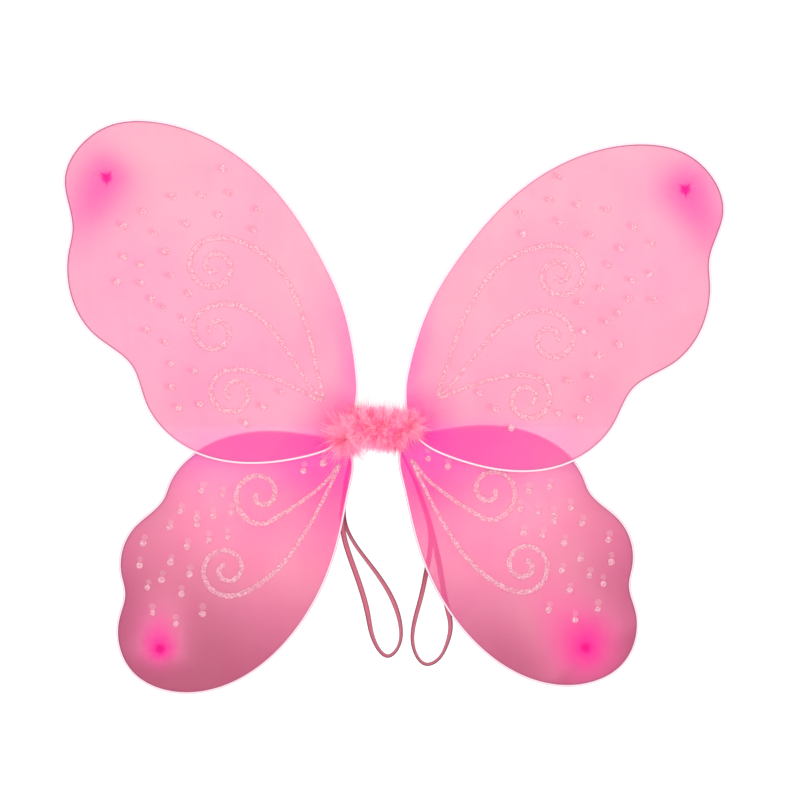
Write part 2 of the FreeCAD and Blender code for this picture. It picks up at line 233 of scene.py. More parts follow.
# ---- reading shapes from the frame ----
ON_PLANE = 0.02 * MM  # a point this near a plane lies on it
SHARP = 0.75  # faces whose normals agree less than this meet in a sharp edge


def merged(node):
    """A node's points and triangles, with doubled points joined."""
    mesh = frame["nodes"][node].data
    co = np.zeros(len(mesh.vertices) * 3)
    mesh.vertices.foreach_get("co", co)
    co = co.reshape(-1, 3)
    keys, index = np.unique(np.round(co / (2e-6)).astype(np.int64), axis=0, return_inverse=True)
    index = index.ravel()
    places = np.zeros((len(keys), 3))
    places[index] = co
    faces = [[int(index[v]) for v in polygon.vertices] for polygon in mesh.polygons]
    return places, [face for face in faces if len(set(face)) == len(face)]


def shared_edges(faces):
    """Each edge, with the numbers of the faces that meet in it."""
    edges = {}
    for index, face in enumerate(faces):
        for pair in zip(face, face[1:] + face[:1]):
            edges.setdefault(tuple(sorted(pair)), []).append(index)
    return edges


def chains(edges):
    """Joins edges into runs, broken where other than two edges meet."""
    beside = {}
    for a, b in edges:
        beside.setdefault(a, []).append(b)
        beside.setdefault(b, []).append(a)
    left = {(a, b) for a in beside for b in beside[a]}
    runs = []
    for start in sorted(beside, key=lambda v: len(beside[v]) == 2):
        for step in beside[start]:
            run = [start]
            while (run[-1], step) in left:
                left -= {(run[-1], step), (step, run[-1])}
                run.append(step)
                onward = [v for v in beside[step] if v != run[-2]]
                step = onward[0] if len(beside[step]) == 2 and onward and step != start else None
            if len(run) > 1:
                runs.append(run)
    return runs


def centreline(node, count):
    """The middle line of a swept node: the mean of its long sharp edges."""
    places, faces = merged(node)
    normals = [unit(np.cross(places[b] - places[a], places[c] - places[a])) for a, b, c in faces]
    sharp = [pair for pair, near in shared_edges(faces).items()
             if len(near) == 2 and normals[near[0]] @ normals[near[1]] < SHARP]
    runs = [places[run] for run in chains(sharp)]
    longest = max(travel(run)[-1] for run in runs)
    runs = [resample(run, count) for run in runs if travel(run)[-1] > 0.7 * longest]
    aligned = []
    for run in runs:
        same = np.linalg.norm(run - runs[0]) < np.linalg.norm(run[::-1] - runs[0])
        aligned.append(run if same else run[::-1])
    return np.mean(aligned, axis=0)


def front_outline(node):
    """The edge of a wing's flat front face, as an ordered loop of (x, z), anticlockwise."""
    places, faces = merged(node)
    front = places[:, 1].min() + ON_PLANE
    faces = [face for face in faces if all(places[v][1] < front for v in face)]
    runs = chains([pair for pair, near in shared_edges(faces).items() if len(near) == 1])
    loop = places[max(runs, key=len)][:, [0, 2]]
    x, z = loop[:, 0], loop[:, 1]
    area = np.sum(x * np.roll(z, -1) - np.roll(x, -1) * z) / 2
    return loop if area > 0 else loop[::-1]


def loose_centres(node):
    """The middle of each separate solid in a node."""
    places, faces = merged(node)
    solid = np.arange(len(places))
    before = None
    while before is None or (solid != before).any():
        before = solid.copy()
        for face in faces:
            solid[face] = solid[face].min()
    groups = [places[solid == number] for number in np.unique(solid)]
    return [(group.min(0) + group.max(0)) / 2 for group in groups]


def wire_ends(node, x, apart=2.3 * MM):
    """The middles of a wire bundle's ends in the plane at x; one wire's points lie closer than apart."""
    places, _ = merged(node)
    ends = places[np.abs(places[:, 0] - x) < ON_PLANE]
    middles = []
    while len(ends):
        near = np.linalg.norm(ends - ends[0], axis=1) < apart
        middles.append((ends[near].min(0) + ends[near].max(0)) / 2)
        ends = ends[~near]
    return middles


# ---- materials ----
class Look:
    """A Principled material, with short ways of adding the nodes that feed it."""

    def __init__(self, name, **settings):
        self.name = name
        self.material = bpy.data.materials.new(name)
        self.material.use_nodes = True
        self.nodes = self.material.node_tree.nodes
        self.shader = self.nodes["Principled BSDF"]
        self.set(**settings)

    def set(self, **settings):
        """Feeds the shader's own inputs; an underscore in a name stands for a space."""
        for key, value in settings.items():
            self.feed(self.shader, key.replace("_", " "), value)

    def feed(self, node, key, value):
        if isinstance(value, bpy.types.NodeSocket):
            self.material.node_tree.links.new(value, node.inputs[key])
        else:
            node.inputs[key].default_value = value

    def node(self, kind, inputs, **settings):
        """The outputs of a new node, set up and fed."""
        node = self.nodes.new("ShaderNode" + kind)
        for key, value in settings.items():
            setattr(node, key, value)
        for key, value in inputs.items():
            self.feed(node, key, value)
        return node.outputs

    def math(self, operation, *values):
        return self.node("Math", dict(enumerate(values)), operation=operation)[0]

    def mix(self, share, first, second):
        """The first colour where share is 0, the second where it is 1."""
        return self.node("Mix", {0: share, 6: first, 7: second}, data_type="RGBA")[2]

    def blend(self, share, first, second):
        """As mix, for plain numbers."""
        return self.node("Mix", {0: share, 2: first, 3: second})[0]

    def attribute(self, name):
        return self.node("Attribute", {}, attribute_name=name)["Fac"]

    def place(self, stretch=(1, 1, 1)):
        """The point's position in metres, scaled."""
        where = self.node("TexCoord", {})["Object"]
        return self.node("Mapping", {"Vector": where, "Scale": stretch})["Vector"]

    def noise(self, scale, detail=2.0, stretch=(1, 1, 1)):
        settings = {"Vector": self.place(stretch), "Scale": scale, "Detail": detail}
        return self.node("TexNoise", settings)["Fac"]

    def cells(self, scale):
        """Two random greys for each small cell."""
        colour = self.node("TexVoronoi", {"Vector": self.place(), "Scale": scale})["Color"]
        split = self.node("SeparateColor", {"Color": colour})
        return split[0], split[1]

    def span(self, value, low, high):
        """0 where value is at low, 1 at high, held outside."""
        return self.node("MapRange", {0: value, 1: low, 2: high})[0]

    def wave(self, value, pitch):
        """A wave from -1 to 1."""
        return self.math("SINE", self.math("MULTIPLY", value, FULL_TURN / pitch))

    def ribs(self, pitch, axis, slant=0.0):
        """A wave along X (0) or Z (2), with some of the other mixed in."""
        axes = self.node("SeparateXYZ", {0: self.place()})
        return self.wave(self.math("MULTIPLY_ADD", axes[2 - axis], slant, axes[axis]), pitch)

    def bump(self, height, distance, strength=1.0):
        settings = {"Height": height, "Distance": distance, "Strength": strength}
        self.set(Normal=self.node("Bump", settings)["Normal"])

    def edge_on(self, power):
        """0 where the surface faces the viewer, 1 where it is seen edge on."""
        facing = self.node("LayerWeight", {"Blend": 0.5})["Facing"]
        return self.math("POWER", facing, power)


LIGHT_NYLON = (0.95, 0.22, 0.43, 1)
PEACH_NYLON = (0.95, 0.235, 0.38, 1)
ROOT_NYLON = (0.97, 0.04, 0.34, 1)
# what is laid over the nylon, in order: the mark on the mesh, its colour, and how opaque it is
NYLON_MARKS = (
    ("cool", (0.97, 0.06, 0.52, 1), None),  # magenta, where wings overlap and at the necks
    ("shade", (0.38, 0.05, 0.115, 1), 0.85),  # painted shade, dusky towards the lower tips
    ("knot", (0.93, 0.02, 0.38, 1), 0.9),  # gathered at the toe
    ("heart", (0.86, 0.0, 0.24, 1), 1.0),  # the middle of the toe
    ("roll", (1.0, 0.55, 0.70, 1), 0.24),  # the roll round the wire
    ("line", (0.17, 0.05, 0.09, 1), 0.9),  # painted shadow inside the roll, and round a lower wing's outer rim
)
KNIT_PITCH = 0.45 * MM


def nylon_look():
    """Sheer knitted nylon: pale where stretched, deep pink where gathered."""
    look = Look("sheer_nylon", Roughness=0.5, Specular_IOR_Level=0.2, Sheen_Weight=0.08, Sheen_Roughness=0.4)
    marks = {name: look.attribute(name) for name, _, _ in NYLON_MARKS}
    cloud = look.span(look.noise(16, 3), 0.3, 0.75)
    streak = look.noise(130, 3, (1, 1, 0.12))
    deep = look.math("ADD", look.attribute("root"), look.math("MULTIPLY_ADD", cloud, 0.2, -0.08))
    deep = look.math("MULTIPLY_ADD", look.math("SUBTRACT", streak, 0.5), 0.12, deep)
    deep = look.span(deep, 0.0, 1.0)
    colour = look.mix(look.span(look.noise(5, 2), 0.35, 0.65), LIGHT_NYLON, PEACH_NYLON)
    colour = look.mix(deep, colour, ROOT_NYLON)
    cover = look.blend(deep, 0.45, 0.75)
    for name, shade, part in NYLON_MARKS:
        colour = look.mix(marks[name], colour, shade)
        if part is not None:
            cover = look.blend(marks[name], cover, part)
    knit = look.math("MULTIPLY", look.ribs(KNIT_PITCH, 0, 0.5), look.ribs(KNIT_PITCH, 2, 0.5))
    cover = look.math("MULTIPLY", cover, look.math("MULTIPLY_ADD", knit, 0.1, 1.0))
    look.set(Base_Color=colour, Alpha=look.blend(look.edge_on(3.0), cover, 0.97))
    look.bump(look.math("MULTIPLY_ADD", streak, 2.0, knit), 0.05 * MM, 0.5)
    return look


def wire_look():
    """Plastic-coated wire, nearly white."""
    look = Look("coated_wire", Coat_Weight=0.2)
    wear = look.noise(300, 3)
    colour = look.mix(wear, srgb(255, 244, 249), srgb(250, 226, 236))
    # painted light: the emission makes the wire glow brighter than the lamps light it, for the bright line at
    # each wing's edge
    look.set(Base_Color=colour, Emission_Color=colour, Emission_Strength=0.12)
    look.set(Roughness=look.blend(wear, 0.3, 0.5))
    look.bump(look.noise(900, 2), 0.03 * MM, 0.4)
    return look


def glitter_look():
    """Dried glitter glue: clear pink gel full of small pale flakes; "body" says how thick it lies."""
    look = Look("glitter_glue", Coat_Weight=0.15, Specular_IOR_Level=0.4)
    grey, other = look.cells(1150)
    body = look.attribute("body")
    pale = look.span(grey, 0.60, 0.72)
    dark = look.span(grey, 0.15, 0.08)
    rim = look.edge_on(1.3)
    colour = look.mix(look.noise(260, 2), srgb(254, 184, 204), srgb(250, 166, 190))
    # the flakes follow the bump: pale on the raised cells, their own pale colour with painted glints; darker
    # on the sunk cells, painted shade
    colour = look.mix(pale, colour, srgb(255, 206, 218))
    colour = look.mix(dark, colour, srgb(232, 148, 174))
    # painted shade: darker where the glue is seen edge on
    colour = look.mix(rim, colour, srgb(226, 134, 164))
    look.set(Base_Color=colour, Roughness=look.blend(other, 0.2, 0.6))
    flake = look.math("MAXIMUM", pale, look.math("MULTIPLY", dark, 0.6))
    cover = look.blend(flake, body, look.math("ADD", body, 0.3))
    look.set(Alpha=look.blend(rim, cover, look.math("ADD", body, 0.25)))
    look.bump(look.math("ADD", grey, look.noise(900, 2)), 0.12 * MM, 0.8)
    return look


def drop_ghost_look():
    """A faint, nearly clear patch beside each drop, lighter where marked pale."""
    look = Look("drop_ghost", Roughness=0.35)
    patch = look.noise(500, 3)
    pale = look.attribute("pale")
    colour = look.mix(patch, srgb(236, 128, 164), srgb(250, 160, 190))
    look.set(Base_Color=look.mix(pale, colour, srgb(255, 200, 216)))
    look.set(Alpha=look.blend(patch, 0.08, look.blend(pale, 0.22, 0.3)))
    look.bump(patch, 0.1 * MM, 0.5)
    return look


def thread_look():
    look = Look("pink_thread", Roughness=0.6, Sheen_Weight=0.3)
    look.set(Base_Color=look.mix(look.noise(700, 2), srgb(226, 60, 140), srgb(250, 110, 170)))
    look.bump(look.ribs(0.22 * MM, 0, 0.8), 0.04 * MM, 0.7)
    return look


def tape_look():
    """Crinkled cloth tape."""
    look = Look("pink_tape", Roughness=0.75)
    creases = look.noise(500, 4, (3, 1, 1))
    # painted shade: darker where the creases sink in the bump
    look.set(Base_Color=look.mix(creases, srgb(214, 92, 130), srgb(246, 140, 170)))
    weave = look.math("MULTIPLY", look.ribs(0.5 * MM, 0), look.ribs(0.5 * MM, 2))
    look.bump(look.math("MULTIPLY_ADD", creases, 3.0, weave), 0.05 * MM, 0.8)
    return look


def felt_look():
    look = Look("pink_felt", Roughness=0.95, Sheen_Weight=0.5, Sheen_Roughness=0.6)
    fibres = look.noise(2600, 4, (1, 1, 0.35))
    patches = look.noise(220, 3)
    # painted shade: darker where the fibres and patches sink in the bump
    colour = look.mix(patches, srgb(232, 120, 158), srgb(246, 146, 180))
    look.set(Base_Color=look.mix(look.span(fibres, 0.35, 0.7), srgb(206, 88, 130), colour))
    look.bump(look.math("ADD", fibres, patches), 0.15 * MM, 0.9)
    return look


def marabou_look():
    """Down: deep pink towards the barbs' roots, a painted shade between the barbs; pale at their tips; and a
    painted glow, stronger at the tips, for light scattered through it.
    """
    look = Look("marabou", Roughness=0.9, Sheen_Weight=0.25, Sheen_Roughness=0.5)
    tip, tint = look.attribute("tip"), look.attribute("tint")
    # painted shade: deep pink towards the roots, pale towards the tips
    colour = look.mix(look.span(tip, 0.0, 0.75), srgb(232, 62, 124), srgb(255, 150, 188))
    colour = look.mix(look.span(tint, 0.5, 1.0), colour, srgb(255, 186, 208))
    colour = look.mix(look.span(tint, 0.4, 0.0), colour, srgb(234, 78, 138))
    # painted light: the down glows, more at its tips
    look.set(Base_Color=colour, Emission_Color=colour)
    look.set(Emission_Strength=look.blend(tip, 0.2, 0.42))
    look.bump(look.noise(1500, 3), 0.08 * MM, 0.6)
    return look


BRAID_PITCH = 1.3  # of the elastic's braid, in mm along the band
CORDS = 5  # in the band's width


def elastic_look():
    """Flat braided elastic, dusty rose, with painted shade at its edges and in the braid's hollows, and
    painted highlight on its ridges.
    """
    look = Look("elastic", Roughness=0.8, Sheen_Weight=0.25)
    across, along = look.attribute("across"), look.attribute("along")
    relief = look.math("MULTIPLY", look.wave(along, BRAID_PITCH), look.wave(across, 1 / CORDS))
    # painted shade and highlight: darker in the braid's hollows, lighter on its ridges
    colour = look.mix(look.span(relief, -1.0, 1.0), srgb(168, 66, 92), srgb(224, 120, 142))
    colour = look.mix(look.span(look.noise(120, 2), 0.4, 0.8), colour, srgb(198, 96, 120))
    # painted shade along the band's edges and where it is seen edge on
    edge = look.math("ABSOLUTE", look.math("MULTIPLY_ADD", across, 2.0, -1.0))
    rim = look.math("MAXIMUM", look.edge_on(2.0), look.span(edge, 0.45, 0.95))
    look.set(Base_Color=look.mix(look.math("MULTIPLY", rim, 0.85), colour, srgb(104, 38, 54)))
    look.bump(relief, 0.12 * MM, 0.8)
    return look


def floor_look():
    look = Look("pale_floor", Roughness=0.9)
    look.set(Base_Color=look.mix(look.noise(3, 2), srgb(238, 238, 238), srgb(244, 244, 244)))
    look.set(Emission_Color=(1, 1, 1, 1), Emission_Strength=0.22)
    return look


LOOKS = {look.name: look.material for look in (
    nylon_look(), wire_look(), glitter_look(), drop_ghost_look(), thread_look(), tape_look(), felt_look(),
    marabou_look(), elastic_look(), floor_look())}


# ---- nylon covers ----
EDGE_R = 1.32 * MM  # nylon rolled round the frame wire
CAD_EDGE = 1.4 * MM  # the frame's own nylon edge, outside the wire's middle
SKIN_HALF = 1.15 * MM  # front or back skin, from the wing's mid plane
EDGE_STEP = 0.6 * MM  # between points along a wing's edge
EDGE_INSETS = (0.3 * MM, 0.9 * MM, 1.6 * MM, 2.9 * MM)  # rings of points inside the edge
RIM_SHADOW = (0, 0, 0.25, 0.8, 1, 0.8, 0.25, 0, 0)  # how dark the painted shadow on the roll is, ring by ring, front to back
LOWER_RIM = 0.7  # how much of that shows on a lower wing; none does on an upper one
GRID = 2.4 * MM  # between the skin's points
FINE_GRID = 1.3 * MM  # the same, near the neck
FINE_REACH = 45 * MM
ROW_PITCH = 0.866  # rows of even triangles lie this share of a step apart
KNOT_REACH = 20 * MM  # the toe's net of rings reaches this far
KNOT_RINGS = (1.5, 2.3, 3.2, 4.3, 5.6, 7.2, 9.2, 11.8, 15.0, 19.0)  # their radii in mm
KNOT_SPOKES = 72
KNOT_PLEATS = 13
CREASES = (-1.5, 0.9, 2.4)  # angles of the sharpest creases round a toe, painted dark as shade in the folds
# the darker halo from a toe towards its notch: direction in (x, z), reach ahead and back and width in mm,
# strength
HALOS = {"upper": ((0.5, -0.86), 62, 22, 24, 0.62), "lower": ((0.3, 0.95), 24, 12, 14, 0.55)}
# the bright pink patch above a lower toe: direction, reach ahead and back, width, radius of the toe's glow
PLUMES = {"lower_left": ((0.1, 1.0), 50, 12, 22, 12.5), "lower_right": ((-0.55, 0.83), 110, 12, 42, 25)}


def plume(toe, way, reach, back, width):
    """A patch that runs from the toe along way for a reach, and fades."""
    ahead = toe @ way
    aside = toe @ (-way[1], way[0])
    return np.exp(-(aside / width) ** 2 - (ahead / np.where(ahead > 0, reach, back)) ** 2)


def around(points, centre):
    """How far points lie from a centre, and at what angle."""
    apart = points - centre
    return np.linalg.norm(apart, axis=1), np.arctan2(apart[:, 1], apart[:, 0])


class Cover:
    """Where one wing's nylon lies: its edge line, neck, toe and mid plane, as (x, z) points."""

    def __init__(self, wing):
        self.wing = wing
        self.body = wing + "_wing"
        self.kind = wing[:5]
        self.upper = self.kind == "upper"
        self.side = -1 if wing.endswith("left") else 1
        self.plane = middle(wing + "_frame_wire")[1]
        self.toe = middle(wing + "_toe_tie")[[0, 2]]
        self.neck = middle(wing + "_neck_tie")[[0, 2]]
        loop = front_outline(wing + "_nylon")
        count = int(travel(np.vstack([loop, loop[:1]]))[-1] / EDGE_STEP)
        loop = relax(resample(loop, count, closed=True), 3, closed=True)
        ahead = unit(np.roll(loop, -2, 0) - np.roll(loop, 2, 0))
        self.outward = np.stack([ahead[:, 1], -ahead[:, 0]], 1)
        self.edge = loop - self.outward * CAD_EDGE
        self.tree = kdtree.KDTree(len(self.edge))
        for index, (x, z) in enumerate(self.edge):
            self.tree.insert((x, z, 0), index)
        self.tree.balance()

    def depth(self, points):
        """How far inside the edge each point lies."""
        return np.array([self.tree.find((x, z, 0))[2] for x, z in points])

    def inside(self, points, margin):
        """Those of the points that lie inside the edge by a margin."""
        keep = []
        for x, z in points:
            _, near, gap = self.tree.find((x, z, 0))
            keep.append(gap > margin and (point(x, z) - self.edge[near]) @ self.outward[near] < 0)
        return points[keep]

    def net(self):
        """Interior points: insets of the edge, an even grid, and rings round the toe."""
        low, high = self.edge.min(0), self.edge.max(0)
        points = [self.inside((self.edge - self.outward * inset)[::2], inset * 0.93) for inset in EDGE_INSETS]
        for pitch, near in ((GRID, False), (FINE_GRID, True)):
            rows = np.arange(low[1], high[1], pitch * ROW_PITCH)
            grid = np.array([(x + row % 2 * pitch / 2, z)
                             for row, z in enumerate(rows) for x in np.arange(low[0], high[0], pitch)])
            grid = grid[(around(grid, self.neck)[0] < FINE_REACH) == near]
            grid = grid[around(grid, self.toe)[0] > KNOT_REACH]
            points.append(self.inside(grid, EDGE_INSETS[-1] + 0.5 * pitch))
        spokes = circle(1, KNOT_SPOKES)
        for index, radius in enumerate(KNOT_RINGS):
            turned = spokes if index % 2 else unit(spokes + np.roll(spokes, 1, 0))
            points.append(self.toe + turned * radius * MM)
        return np.concatenate(points + [self.toe[None]])

    def relief(self, points):
        """How far the skins rise and fall: the gathers at the toe and the neck, and a slow unevenness."""
        depth = self.depth(points)
        far, turn = around(points, self.toe)
        wave = np.sin(KNOT_PLEATS * turn + 2.2 * np.sin(turn * 2 + 0.7)) + 0.5 * np.sin(31 * turn + 1.3)
        pleats = 0.42 * MM * wave * np.exp(-far / (7 * MM)) * smooth(far, 0.5 * MM, 3 * MM)
        far, turn = around(points, self.neck)
        pleats += 0.16 * MM * np.sin(38 * turn + 4 * np.sin(turn * 3)) * np.exp(-far / (22 * MM))
        drape = np.array([noise.noise((x * 22, z * 22, self.plane * 90)) for x, z in points]) * 0.3 * MM
        return pleats * smooth(depth, 1.0 * MM, 3 * MM) + drape * smooth(depth, 1.5 * MM, 12 * MM)

    def heights(self, points, front):
        """Where the front or the back skin lies along Y; the toe pulls both back."""
        lift = SKIN_HALF + (EDGE_R - SKIN_HALF) * np.exp(-self.depth(points) / (3 * MM))
        toe, _ = around(points, self.toe)
        if front:
            return self.plane - lift + self.relief(points) + 1.75 * MM * bell(toe, 4.2 * MM)
        return self.plane + lift + self.relief(points) * 0.6 + 0.95 * MM * bell(toe, 3.4 * MM)

    def marks(self, points):
        """How strongly each look of the nylon shows, from 0 to 1; lengths in here are in mm."""
        toe = (points - self.toe) / MM
        far, turn = around(toe, 0)
        depth = self.depth(points) / MM
        outward, upward = ((points - self.neck) / MM * (self.side, 1)).T
        neck = np.hypot(outward, upward)
        core = bell(far, 7 if self.upper else 5, 3)
        soft = 0.6 * bell(far, 13, 1.5)
        way, reach, back, width, share = HALOS[self.kind]
        halo = share * plume(toe, np.array(way) * (self.side, 1), reach, back, width)
        if self.upper:
            inner = bell(depth, 15) * fade(outward, 5, 45)
            inner = inner * fade(upward, 50, 170)
            base = 0.04 + 0.12 * fade(upward, 40, 190)
            root = base + (1 - base) * fade(neck, 2, 62)
            root = np.maximum(root, base + 0.35 * inner)
            belly = 0.6 * fade(upward, -8, 14) * fade(outward, 90, 200)
            cool = np.maximum(np.maximum(0.3 * inner, 0.25 * halo), belly)
            shade = np.zeros(len(points))
            heart = 0.2 * bell(far, 4.5)
        else:
            *patch, glare = PLUMES[self.wing]
            glow = bell(far, glare)
            bright = 0.95 * np.maximum(glow, 0.85 * plume(toe, *patch))
            outer = smooth(outward, 60, 190)
            # painted shade: darker towards the lower tips and along the outer edges, with none in the bright
            # pink round the toe
            shade = 0.82 * smooth(45 * outer - upward, 70, 235)
            shade = (shade + 0.4 * outer * np.exp(-depth / 22) * (1 - shade)) * (1 - bright)
            root = np.maximum(0.4 + 0.6 * fade(neck, 10, 145), bright)
            cool = 0.45 * smooth(upward, -60, -15) + 0.5 * smooth(upward, -30, -10)
            soft = np.maximum(0.5 * soft, 0.3 * glow)
            heart = np.maximum(bell(far, 5.2, 3), 0.5 * glow)
        # painted shade: dark lines along the sharpest creases round the toe
        for spoke in CREASES:
            off = np.abs(np.sin((turn - spoke) / 2)) * 2 * far
            heart = np.maximum(heart, 0.8 * bell(off, 0.9) * fade(far, 5, 9))
        # painted shadow along the inside of the roll, stronger farther out from the neck
        line = smooth(depth, 0.35, 0.85) * fade(depth, 0.95, 1.7)
        line = line * np.clip(0.25 + 0.0034 * outward, 0.1, 1.0)
        return {"root": root, "knot": np.maximum(np.maximum(core, soft), halo), "shade": shade,
                "heart": heart, "line": line, "cool": cool, "roll": fade(depth, 0.3, 0.9)}


def nylon_cover(cover):
    """One wing's nylon: two skins that share their outline, and the roll that joins them round the wire."""
    edge, count = cover.edge, len(cover.edge)
    plan = [Vector((x, z)) for x, z in np.concatenate([edge, cover.net()])]
    result = geometry.delaunay_2d_cdt(plan, [], [list(range(count))], 1, 1e-7)
    points = np.array([tuple(p) for p in result[0]])
    triangles = [face for face in result[2] if len(face) == 3]
    build = Builder()
    for front in (True, False):
        verts = np.stack([points[:, 0], cover.heights(points, front), points[:, 1]], 1)
        build.add(verts, triangles if front else [face[::-1] for face in triangles], **cover.marks(points))
    rings = []
    for angle in np.linspace(math.pi / 2, -math.pi / 2, len(RIM_SHADOW)):
        out = edge + cover.outward * (EDGE_R * math.cos(angle))
        y = np.full(count, cover.plane - EDGE_R * math.sin(angle))
        rings.append(np.stack([out[:, 0], y, out[:, 1]], 1))
    verts, faces = skin(rings, first_cap=False, last_cap=False)
    marks = {key: np.tile(values, len(rings)) for key, values in cover.marks(edge).items()}
    # painted shadow round the roll's outer rim, on the lower wings only
    marks["line"] = np.repeat(RIM_SHADOW, count) * (0.0 if cover.upper else LOWER_RIM)
    build.add(verts, [face[::-1] for face in faces], **marks)
    build.make(cover.wing + "_nylon_cover", "sheer_nylon", cover.body, cover.wing + "_nylon")


# the gathered toe, from the skin back: height, radius and depth of the pleats at each station, in mm
TOE_STATIONS = ((0.6, 3.6, 0.25), (1.5, 2.3, 0.25), (2.3, 1.5, 0.16), (3.1, 1.35, 0.14), (3.8, 1.55, 0.2),
                (4.6, 2.3, 0.3), (5.4, 3.1, 0.36), (6.1, 3.5, 0.4), (5.7, 2.6, 0.4), (4.9, 1.3, 0.3))
TOE_SPOKES = 60
TOE_MARKS = {"root": 1.0, "knot": 1.0, "shade": 0.0, "heart": 0.3, "line": 0.0, "cool": 0.0, "roll": 0.0}


def toe_gather(cover):
    """The bunched nylon behind the toe: a pleated waist that flares into a ragged tuft."""
    angles = turns(TOE_SPOKES)
    rings = []
    for height, radius, pleat in TOE_STATIONS:
        r = radius * MM * (1 + pleat * np.sin(11 * angles + 1.7 * np.sin(2 * angles)))
        ragged = 0.5 * np.sin(5 * angles + 1) * max(0.0, height - 4.0) / 2
        y = cover.plane + SKIN_HALF + (height + ragged) * MM
        rings.append(np.stack([cover.toe[0] + r * np.cos(angles), y, cover.toe[1] + r * np.sin(angles)], 1))
    build = Builder().add(*skin(rings, first_cap=False), **TOE_MARKS)
    build.make(cover.wing + "_toe_gather", "sheer_nylon", cover.body, cover.wing + "_nylon")


def wind_thread(cover, place, path, count, radius, steps):
    """Thread wound in count turns round a tie; path(angle, share) gives the points of its middle."""
    total = int(count * steps)
    points = [path(FULL_TURN * i / steps, i / total) for i in range(total + 1)]
    build = Builder().add(*tube(points, circle(radius, 8)))
    name = cover.wing + "_" + place
    build.make(name + "_thread", "pink_thread", cover.body, name + "_tie")


def toe_thread(cover):
    """Thread wound round the waist of the toe."""
    low, high = corners(cover.wing + "_toe_tie")
    waist = (high[0] - low[0]) / 2 - 0.42 * MM

    def path(angle, share):
        r = waist + 0.18 * MM * math.sin(7 * angle / 3)
        y = (share - 0.5) * 0.9 * MM + 0.1 * MM * math.sin(angle * 1.3)
        return (low + high) / 2 + point(r * math.cos(angle), y, r * math.sin(angle))

    wind_thread(cover, "toe", path, 4.3, 0.24 * MM, 28)


def neck_axes(cover):
    """The neck tie's middle, the way the wire tails run into the wing, and the way across them."""
    places, _ = merged(cover.wing + "_neck_tie")
    flat = places[:, [0, 2]] - places[:, [0, 2]].mean(0)
    _, ways = np.linalg.eigh(flat.T @ flat)
    along, across = (point(x, 0, z) for x, z in ways.T)
    if along[[0, 2]] @ (cover.edge.mean(0) - cover.neck) < 0:
        along = -along
    return middle(cover.wing + "_neck_tie"), along, across


def neck_thread(cover):
    """Thread bound round the nylon's neck."""
    centre, along, across = neck_axes(cover)

    def path(angle, share):
        wide = 2.72 * MM * squared(math.cos(angle), 0.6)
        deep = 1.66 * MM * squared(math.sin(angle), 0.6)
        slip = (share - 0.5) * 1.15 * MM + 0.06 * MM * math.sin(angle * 2.3)
        return centre + along * slip + across * wide - point(0, deep, 0)

    wind_thread(cover, "neck", path, 4.5, 0.2 * MM, 40)


# ---- glitter glue ----
BEAD_H = 0.8 * MM
BEAD_STEP = 0.8 * MM  # between the rings of a line
BEAD_SIDES = 14
BEAD_W = {"upper": 4.8 * MM, "lower": 4.9 * MM}
BEAD_SLIM = 0.3  # how much slimmer a line is at its start near the neck
BEAD_SUNK = {"upper": 0.5, "lower": 0.6}
GLUE_BODY = 0.4  # how thick the glue looks
START_DRAW = 4.0 * MM  # the lines' shared start lies this far from their ends, towards the neck
DROP_R = 3.3 * MM
DROP_H = 0.85 * MM
DROP_SPOKES = 16
DROP_RINGS = (0.0, 0.35, 0.65, 0.88, 1.0)
GHOST_H = 0.3 * MM
# where a drop's faint patch lies beside it, in (x, z)
GHOST_SHIFT = {"upper": (-4.3 * MM, 1.6 * MM), "lower": (0.8 * MM, 5.6 * MM)}


def bead(points, seed, width, sunk):
    """A hand-laid line of glue: flat below, never quite even, its top sunk along the middle."""
    def section(i, n):
        swell = noise.noise((i * 0.16, seed, 0.5))
        lump = noise.noise((i * 0.55, seed, 3.5))
        ends = min(1.0, 0.45 + 0.25 * min(i, n - 1 - i))
        slim = 1 - BEAD_SLIM * (1 - smooth(i / n, 0.1, 0.5))
        w = width / 2 * slim * (1 + 0.16 * swell + 0.1 * lump) * ends
        h = BEAD_H * (1 + 0.25 * swell + 0.3 * lump) * ends
        ring = []
        for k, (c, s) in enumerate(circle(1, BEAD_SIDES)):
            rough = 1 + 0.1 * noise.noise((i * 0.9, k * 1.7, seed + 9.0))
            up = h * (1 - sunk * math.exp(-(c / 0.5) ** 2)) * s if s > 0 else 0.2 * MM * s
            ring.append((w * c * rough, up * rough))
        return np.array(ring)
    return tube(points, section)


def glitter_lines(cover):
    """The scrolls, drawn out to a shared start near the neck."""
    names = ["%s_scroll_%d" % (cover.wing, number + 1) for number in range(SCROLLS[cover.kind])]
    paths = []
    for name in names:
        path = centreline(name, 400)
        first, last = around(path[[0, -1]][:, [0, 2]], cover.neck)[0]
        paths.append(path if first < last else path[::-1])
    start = np.mean([path[0] for path in paths], axis=0)
    start[[0, 2]] += unit(cover.neck - start[[0, 2]]) * START_DRAW
    for number, (name, path) in enumerate(zip(names, paths), 1):
        path = np.vstack([start, path])
        path = relax(resample(path, int(travel(path)[-1] / BEAD_STEP)), 6)
        path[:, 1] = cover.heights(path[:, [0, 2]], True) + 0.1 * MM
        line = bead(path, number * 7.3 + cover.side, BEAD_W[cover.kind], BEAD_SUNK[cover.kind])
        build = Builder().add(*line, body=GLUE_BODY)
        build.make(name + "_glitter", "glitter_glue", cover.body, name)


